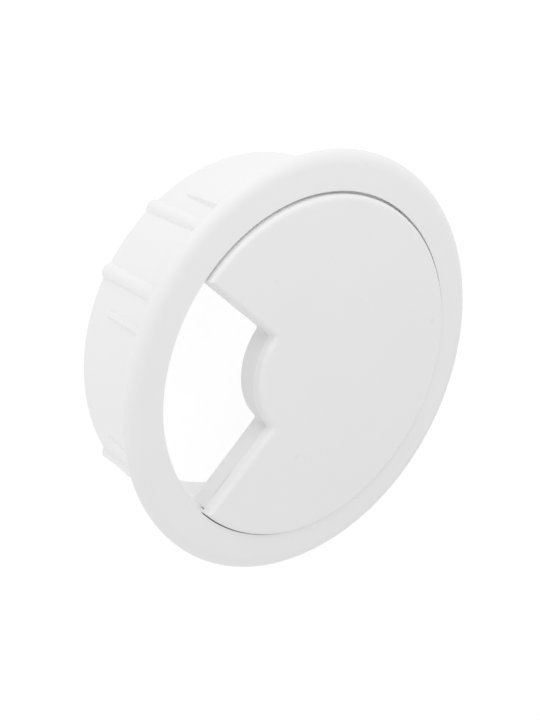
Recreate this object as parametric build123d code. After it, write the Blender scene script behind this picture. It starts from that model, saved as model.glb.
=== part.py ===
from build123d import *
import os
from math import cos, hypot, radians, sin

# Cable grommet for a round hole in a desk top: a flanged liner, and a cap that lies in its seat.
# +Z is the grommet's axis. The flange's underside, which lies on the desk, is at z = 0.
# The cable outlet in the cap opens towards -Y. All sizes are in millimetres.

# Liner
hole_diameter = 60.0
sleeve_length = 17.2
sleeve_wall = 2.6
bore_taper = 0.4
flange_overhang = 4.0
flange_thickness = 1.15
flange_edge_width = 2.0
flange_edge_land = 0.15
rim_chamfer = 0.3

# Seat of the cap in the liner
ledge_width = 0.65
seat_depth = 1.05

# Ribs on the sleeve, which grip the hole
rib_bite = 0.25
rib_height = 0.75
rib_width = 2.4
wedge_height = 0.8
wedge_tip_height = 0.4
wedge_width = 1.5
wedge_crest_width = 0.6
wedge_length = 12.3

# Angles of the ribs from the outlet's middle, the same to both sides and to the back
rib_angles = (30.2, 52.8)
wedge_angles = (19.6, 60.9)

# Cap
cap_clearance = 0.27
cap_proud = 0.65
cap_edge_radius = 0.8
outlet_angle = 84.4
hub_radius = 11.0
hub_corner_radius = 0.5
skirt_clearance = 0.4
skirt_setback = 0.35
skirt_wall = 1.4
skirt_height = 3.45

# Place of the loose pieces: the liner is turned a little against the cap, which lies to one side of its seat
liner_turn = -1.8
cap_shift = (0.22, 0.12)

# Share of a wall that a rounded edge may take up
largest_round = 0.85

# Radii and heights that follow from the sizes above
sleeve_radius = hole_diameter / 2 + rib_bite - rib_height
bore_radius = sleeve_radius - sleeve_wall
rear_bore_radius = bore_radius - bore_taper
seat_radius = bore_radius + ledge_width
flange_radius = sleeve_radius + flange_overhang
seat_height = flange_thickness - seat_depth
cap_radius = seat_radius - cap_clearance
cap_thickness = seat_depth + cap_proud
skirt_radius = bore_radius - skirt_clearance


def liner_body():
    """Flange, seat and sleeve, turned from one section."""
    edge_start = (flange_radius - flange_edge_width, flange_thickness)
    edge_end = (flange_radius, flange_edge_land)
    flange_edge = TangentArc(edge_start, edge_end, tangent=(1, 0))
    rest = Polyline(
        edge_end,
        (flange_radius, 0),
        (sleeve_radius, 0),
        (sleeve_radius, -sleeve_length),
        (rear_bore_radius, -sleeve_length),
        (bore_radius, seat_height),
        (seat_radius, seat_height),
        (seat_radius, flange_thickness),
        edge_start,
    )
    section = make_face([flange_edge, rest])
    rim_corner = section.vertices().sort_by_distance((sleeve_radius, -sleeve_length, 0))[0]
    section = chamfer(rim_corner, rim_chamfer)
    return revolve(Plane.XZ * section, Axis.Z)


def long_rib():
    """Rounded rib from the rim's chamfer up to the flange, on the +X side."""
    round_radius = (rib_width**2 / 4 + rib_height**2) / (2 * rib_height)
    centre = sleeve_radius + rib_height - round_radius
    lower_end = rim_chamfer - sleeve_length
    section = Plane.XY.offset(lower_end) * Pos(centre, 0) * Circle(round_radius)
    return extrude(section, amount=flange_thickness / 2 - lower_end)


def wedge_rib():
    """Short narrow rib that rises out of the sleeve towards the flange, on the +X side."""
    tip = Vector(sleeve_radius + wedge_tip_height, 0, -wedge_length)
    root = Vector(sleeve_radius + wedge_height, 0, 0)
    crest = root - tip
    across = Vector(0, 1, 0)
    outward = across.cross(crest).normalized()
    half_crest = wedge_crest_width / 2
    half_foot = wedge_width / 2
    section = make_face(
        Polyline(
            (0, half_crest),
            (-wedge_height, half_foot),
            (-2 * wedge_height, half_foot),
            (-2 * wedge_height, -half_foot),
            (-wedge_height, -half_foot),
            (0, -half_crest),
            close=True,
        )
    )
    length = crest.length + flange_thickness / 2
    return extrude(Plane(tip, x_dir=outward, z_dir=crest) * section, amount=length)


def liner():
    """The liner with four groups of ribs, each of two long ribs between two wedges."""
    body = liner_body()
    for middle in (liner_turn - 90, liner_turn + 90):
        for side in (-1, 1):
            body += [Rot(0, 0, middle + side * angle) * long_rib() for angle in rib_angles]
            body += [Rot(0, 0, middle + side * angle) * wedge_rib() for angle in wedge_angles]
    return body


def cap_outline(rim_radius, setback):
    """Plan of the cap, with its edges at the outlet moved back by a distance."""
    half_angle = radians(outlet_angle / 2)
    apex = Vector(0, setback / sin(half_angle))
    reach = 2 * rim_radius
    left_end = apex + Vector(-sin(half_angle), -cos(half_angle)) * reach
    right_end = apex + Vector(sin(half_angle), -cos(half_angle)) * reach
    sector = make_face(Polyline(apex, left_end, right_end, close=True))
    hub = hub_radius - setback
    outline = Circle(rim_radius) - sector + Circle(hub)
    hub_corners = [v for v in outline.vertices() if hypot(v.X, v.Y) < (hub + rim_radius) / 2]
    return fillet(hub_corners, hub_corner_radius)


def cap():
    """Cover plate with a skirt below it that follows the outlet and the bore."""
    plate = Pos(0, 0, seat_height) * extrude(cap_outline(cap_radius, 0), amount=cap_thickness)
    top_edges = plate.faces().sort_by(Axis.Z)[-1].edges()
    plate = fillet(top_edges, min(cap_edge_radius, largest_round * cap_thickness))
    skirt_plan = cap_outline(skirt_radius, skirt_setback)
    skirt_plan -= cap_outline(skirt_radius - skirt_wall, skirt_setback + skirt_wall)
    skirt = Pos(0, 0, seat_height) * extrude(skirt_plan, amount=-skirt_height)
    return Pos(*cap_shift) * (plate + skirt)


os.makedirs("parts", exist_ok=True)
export_step(liner(), "parts/liner.step")
export_step(cap(), "parts/cap.step")
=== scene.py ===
import math

import bpy
from mathutils import Matrix, Vector


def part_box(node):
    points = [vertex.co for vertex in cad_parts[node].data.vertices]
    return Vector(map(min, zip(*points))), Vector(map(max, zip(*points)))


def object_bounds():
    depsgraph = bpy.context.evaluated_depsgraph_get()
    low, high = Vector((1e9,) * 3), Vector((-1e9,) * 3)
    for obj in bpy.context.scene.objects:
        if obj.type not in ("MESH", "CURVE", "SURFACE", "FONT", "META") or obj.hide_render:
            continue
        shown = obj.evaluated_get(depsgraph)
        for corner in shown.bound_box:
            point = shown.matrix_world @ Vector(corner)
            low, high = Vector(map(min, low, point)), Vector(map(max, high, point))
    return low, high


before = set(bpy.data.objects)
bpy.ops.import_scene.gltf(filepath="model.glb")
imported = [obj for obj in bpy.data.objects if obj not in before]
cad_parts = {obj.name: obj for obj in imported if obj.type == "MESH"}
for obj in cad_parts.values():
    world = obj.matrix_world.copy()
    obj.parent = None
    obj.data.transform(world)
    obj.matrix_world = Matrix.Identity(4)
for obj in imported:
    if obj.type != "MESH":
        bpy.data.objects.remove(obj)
cad_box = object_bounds()

# Camera, in metres and degrees. It looks down on the cap from the outlet's side, rolled over to its left,
# so that the grommet's axis points to the right and down in the picture.
camera_aim = (-0.00364, -0.00864, 0.00109)
camera_azimuth = -124.48
camera_elevation = 45.17
camera_roll = 117.65
camera_distance = 0.180
camera_lens = 61.39
camera_sensor = 36.0
camera_clip = (0.01, 10.0)

# Light: a pale sky all round, and four soft lamps. Angles are in degrees, distances in metres and powers in
# watts, and the side of a lamp is lamp_spread times its distance.
sky_strength = 0.685
lamp_spread = 0.8
left_lamp = {"azimuth": 185.0, "elevation": 33.0, "distance": 0.25, "power": 0.175}
back_lamp = {"azimuth": 125.0, "elevation": 15.0, "distance": 0.25, "power": 0.023}
front_lamp = {"azimuth": -80.0, "elevation": 20.0, "distance": 0.50, "power": 0.27}
far_lamp = {"azimuth": 20.0, "elevation": 15.0, "distance": 0.50, "power": 0.15}

# Floor: an opal sheet, a hair below the sleeve's rear rim, that passes light from below on to the grommet.
# To look at, it has a glow of its own and takes up the rest from the light that falls on it, so that it is
# white with a pale shadow. From below it is clear, so that the grommet's underside can be seen.
floor_half_side = 2.0
floor_gap = 0.00005
floor_colour = (0.03, 0.03, 0.03)
floor_light_through = (0.96, 0.96, 0.96)
floor_glow = 0.82
floor_lit_colour = (0.25, 0.25, 0.25)
white = (1.0, 1.0, 1.0)

# White plastic: faint clouds in its colour, and a fine grain from the mould in its gloss and its surface
plastic_colour = (0.88, 0.88, 0.88)
plastic_shade = (0.86, 0.86, 0.86)
cloud_scale = 120.0
cloud_detail = 3.0
grain_scale = 5000.0
grain_detail = 2.0
grain_roughness = (0.42, 0.56)
grain_strength = 0.15
grain_height = 0.00002

# The skirt below the cap's plate is painted a little greyer than the plate: painted shade under the plate's
# overhang
plate_thickness = 0.0017
skirt_blend = 0.0002
skirt_painted_shade = (0.95, 0.95, 0.95)

# The liner is painted a little lighter in its bore: painted light that stands in for light coming through
# its thin wall. The tint fades in between these two radii.
bore_blend = (0.0275, 0.0270)
bore_painted_light = (1.04, 1.04, 1.04)

# A thin dark line on the skirt, close below the plate on the outlet's +X side: painted shadow under the
# plate's edge. Along its direction it fades from nothing to full between the two distances from its middle.
line_middle = (0.01528, -0.01619, -0.00020)
line_direction = (0.672, -0.741, 0.0)
line_width = 0.00060
line_reach = (0.0030, 0.0015)
edge_painted_shadow = (0.87, 0.87, 0.87)

# Faint grey marks, each with its place on the piece and its radius in metres. The edge of a mark goes from
# nothing to full between two shares of its radius.
mark_tint = (0.93, 0.93, 0.92)
mark_edge = (1.5, 0.5)
cap_marks = (
    ((0.0138, -0.0033, 0.0018), 0.0006),
    ((0.0142, -0.0018, 0.0018), 0.0003),
    ((-0.0025, 0.0245, 0.0018), 0.0006),
    ((-0.0160, -0.0085, 0.0018), 0.0003),
    ((-0.0094, 0.0084, 0.0018), 0.0003),
)
liner_marks = (
    ((-0.0305, 0.0084, 0.00115), 0.0004),
    ((-0.0184, 0.0254, 0.00115), 0.0004),
)


def direction(azimuth, elevation):
    """Unit vector at an azimuth from +X towards +Y and an elevation above the floor, in degrees."""
    a, e = math.radians(azimuth), math.radians(elevation)
    return Vector((math.cos(a) * math.cos(e), math.sin(a) * math.cos(e), math.sin(e)))


def link(obj):
    """Puts an object into the scene."""
    bpy.context.scene.collection.objects.link(obj)
    return obj


def facing(back):
    """Rotation that turns an object's -Z away from a direction, with its Y as upright as it can be."""
    return back.to_track_quat("Z", "Y").to_matrix().to_4x4()


def make_camera():
    """The photograph's viewpoint."""
    data = bpy.data.cameras.new("photo_camera")
    data.lens = camera_lens
    data.sensor_width = camera_sensor
    data.clip_start, data.clip_end = camera_clip
    camera = link(bpy.data.objects.new("photo_camera", data))
    back = direction(camera_azimuth, camera_elevation)
    place = Matrix.Translation(Vector(camera_aim) + back * camera_distance)
    roll = Matrix.Rotation(math.radians(camera_roll), 4, "Z")
    camera.matrix_world = place @ facing(back) @ roll
    bpy.context.scene.camera = camera


def make_lamp(name, azimuth, elevation, distance, power):
    """A square soft lamp that shines at the grommet."""
    data = bpy.data.lights.new(name, "AREA")
    data.shape = "SQUARE"
    data.size = lamp_spread * distance
    data.energy = power
    lamp = link(bpy.data.objects.new(name, data))
    back = direction(azimuth, elevation)
    lamp.matrix_world = Matrix.Translation(back * distance) @ facing(back)


class Nodes:
    """A node tree under construction."""

    def __init__(self, tree):
        self.tree = tree
        tree.nodes.clear()

    def add(self, kind, **inputs):
        """Adds a node. Inputs have underscores for spaces, and hold values or other nodes' sockets."""
        node = self.tree.nodes.new(kind)
        for name, value in inputs.items():
            self.set(node.inputs[name.replace("_", " ")], value)
        return node

    def set(self, socket, value):
        """Gives a socket a value, or links another node's socket to it."""
        if isinstance(value, bpy.types.NodeSocket):
            self.tree.links.new(value, socket)
        else:
            socket.default_value = value

    def math(self, operation, first, second):
        """A number worked out from two others."""
        node = self.tree.nodes.new("ShaderNodeMath")
        node.operation = operation
        self.set(node.inputs[0], first)
        self.set(node.inputs[1], second)
        return node.outputs[0]

    def vector(self, operation, first, second=None):
        """A vector or a number worked out from one or two vectors."""
        node = self.tree.nodes.new("ShaderNodeVectorMath")
        node.operation = operation
        self.set(node.inputs[0], first)
        if second is not None:
            self.set(node.inputs[1], second)
        gives_number = operation in ("DISTANCE", "LENGTH")
        return node.outputs["Value" if gives_number else "Vector"]

    def mix(self, share, first, second):
        """A blend of two shaders, with a share of the second."""
        node = self.add("ShaderNodeMixShader", Fac=share)
        self.set(node.inputs[1], first.outputs[0])
        self.set(node.inputs[2], second.outputs[0])
        return node

    def sum(self, first, second):
        """Two shaders added up."""
        node = self.tree.nodes.new("ShaderNodeAddShader")
        self.set(node.inputs[0], first.outputs[0])
        self.set(node.inputs[1], second.outputs[0])
        return node

    def colour(self, share, first, second, blend="MIX"):
        """A blend of two colours, with a share of the second."""
        node = self.tree.nodes.new("ShaderNodeMix")
        node.data_type = "RGBA"
        node.blend_type = blend
        self.set(node.inputs["Factor"], share)
        # The node has sockets of the same names for other types, so those for colours go by their numbers
        self.set(node.inputs[6], first)
        self.set(node.inputs[7], second)
        return node.outputs[2]

    def ramp(self, value, start, end, low=0.0, high=1.0):
        """A value that goes from low to high while another goes from start to end."""
        node = self.add("ShaderNodeMapRange", Value=value, From_Min=start, From_Max=end)
        node.inputs["To Min"].default_value = low
        node.inputs["To Max"].default_value = high
        return node.outputs[0]

    def noise(self, place, scale, detail):
        """Soft random patches, from 0 to 1."""
        return self.add("ShaderNodeTexNoise", Vector=place, Scale=scale, Detail=detail).outputs["Fac"]


def seen_directly(nodes):
    """1 for a ray from the camera, off a gloss or through glass, otherwise 0."""
    path = nodes.add("ShaderNodeLightPath").outputs
    seen = nodes.math("MAXIMUM", path["Is Camera Ray"], path["Is Glossy Ray"])
    return nodes.math("MAXIMUM", seen, path["Is Transmission Ray"])


def make_world():
    """White to look at, and a soft sky for light."""
    world = bpy.data.worlds.new("soft_sky")
    bpy.context.scene.world = world
    world.use_nodes = True
    nodes = Nodes(world.node_tree)
    sky = nodes.add("ShaderNodeBackground", Color=(*white, 1.0), Strength=sky_strength)
    plain = nodes.add("ShaderNodeBackground", Color=(*white, 1.0), Strength=1.0)
    nodes.add("ShaderNodeOutputWorld", Surface=nodes.mix(seen_directly(nodes), sky, plain).outputs[0])


def floor_material():
    """An opal sheet, white to look at apart from the shadow, and clear from below."""
    material = bpy.data.materials.new("floor")
    material.use_nodes = True
    nodes = Nodes(material.node_tree)
    seen = seen_directly(nodes)
    seen_from_below = nodes.math("MULTIPLY", seen, nodes.add("ShaderNodeNewGeometry").outputs["Backfacing"])
    upper = nodes.add("ShaderNodeBsdfDiffuse", Color=(*floor_colour, 1.0))
    through = nodes.add("ShaderNodeBsdfTranslucent", Color=(*floor_light_through, 1.0))
    glow = nodes.add("ShaderNodeEmission", Color=(*white, 1.0), Strength=floor_glow)
    lit = nodes.add("ShaderNodeBsdfDiffuse", Color=(*floor_lit_colour, 1.0))
    clear = nodes.add("ShaderNodeBsdfTransparent")
    from_above = nodes.mix(seen, nodes.sum(upper, through), nodes.sum(glow, lit))
    sheet = nodes.mix(seen_from_below, from_above, clear)
    nodes.add("ShaderNodeOutputMaterial", Surface=sheet.outputs[0])
    return material


def make_floor():
    """The plane that the sleeve's rear rim stands on."""
    height = cad_box[0].z - floor_gap
    signs = ((-1, -1), (1, -1), (1, 1), (-1, 1))
    corners = [(x * floor_half_side, y * floor_half_side, height) for x, y in signs]
    mesh = bpy.data.meshes.new("floor")
    mesh.from_pydata(corners, [], [(0, 1, 2, 3)])
    mesh.materials.append(floor_material())
    link(bpy.data.objects.new("floor", mesh))


def below_plate(nodes, place):
    """1 on the cap's skirt, which gets painted shade, and 0 on its plate."""
    height = nodes.add("ShaderNodeSeparateXYZ", Vector=place).outputs["Z"]
    skirt_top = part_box("cap")[1].z - plate_thickness
    return nodes.ramp(height, skirt_top, skirt_top - skirt_blend)


def inside_bore(nodes, place):
    """1 on the wall of the liner's bore, which gets painted light, and 0 outside it."""
    from_axis = nodes.vector("MULTIPLY", place, (1.0, 1.0, 0.0))
    return nodes.ramp(nodes.vector("LENGTH", from_axis), *bore_blend)


def below_edge(nodes, place):
    """1 on the thin line of painted shadow below the plate's edge, otherwise 0."""
    offset = nodes.vector("SUBTRACT", place, line_middle)
    along = nodes.vector("PROJECT", offset, line_direction)
    near_line = nodes.ramp(nodes.vector("DISTANCE", offset, along), line_width, 0.0)
    return nodes.math("MULTIPLY", near_line, nodes.ramp(nodes.vector("LENGTH", along), *line_reach))


def mark(nodes, place, grain, centre, radius):
    """1 inside a small mark with a ragged edge, otherwise 0."""
    distance = nodes.vector("DISTANCE", place, centre)
    ragged = nodes.math("ADD", distance, nodes.math("MULTIPLY", grain, radius))
    outer, inner = mark_edge
    return nodes.ramp(ragged, outer * radius, inner * radius)


def white_plastic(name, marks, zones):
    """Satin white moulding with a few faint marks, and with zones that each have a tint of painted light or
    shade.
    """
    material = bpy.data.materials.new(name)
    material.use_nodes = True
    nodes = Nodes(material.node_tree)
    place = nodes.add("ShaderNodeTexCoord").outputs["Object"]
    clouds = nodes.noise(place, cloud_scale, cloud_detail)
    grain = nodes.noise(place, grain_scale, grain_detail)
    colour = nodes.colour(clouds, (*plastic_shade, 1.0), (*plastic_colour, 1.0))
    for centre, radius in marks:
        share = mark(nodes, place, grain, centre, radius)
        colour = nodes.colour(share, colour, (*mark_tint, 1.0), "MULTIPLY")
    for zone, tint in zones:
        colour = nodes.colour(zone(nodes, place), colour, (*tint, 1.0), "MULTIPLY")
    bump = nodes.add("ShaderNodeBump", Height=grain, Strength=grain_strength, Distance=grain_height)
    shader = nodes.add(
        "ShaderNodeBsdfPrincipled",
        Base_Color=colour,
        Roughness=nodes.ramp(grain, 0.0, 1.0, *grain_roughness),
        Normal=bump.outputs[0],
    )
    nodes.add("ShaderNodeOutputMaterial", Surface=shader.outputs[0])
    return material


def dress(node, material):
    """Gives a solid its material."""
    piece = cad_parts[node]
    piece.data.materials.clear()
    piece.data.materials.append(material)


make_camera()
make_world()
make_lamp("left_lamp", **left_lamp)
make_lamp("back_lamp", **back_lamp)
make_lamp("front_lamp", **front_lamp)
make_lamp("far_lamp", **far_lamp)
make_floor()
# The liner's bore zone is painted light; the cap's skirt zone and the line below the plate's edge are
# painted shade.
dress("liner", white_plastic("liner_plastic", liner_marks, [(inside_bore, bore_painted_light)]))
dress("cap", white_plastic("cap_plastic", cap_marks, [(below_plate, skirt_painted_shade), (below_edge, edge_painted_shadow)]))

bpy.context.scene.view_settings.view_transform = "Standard"
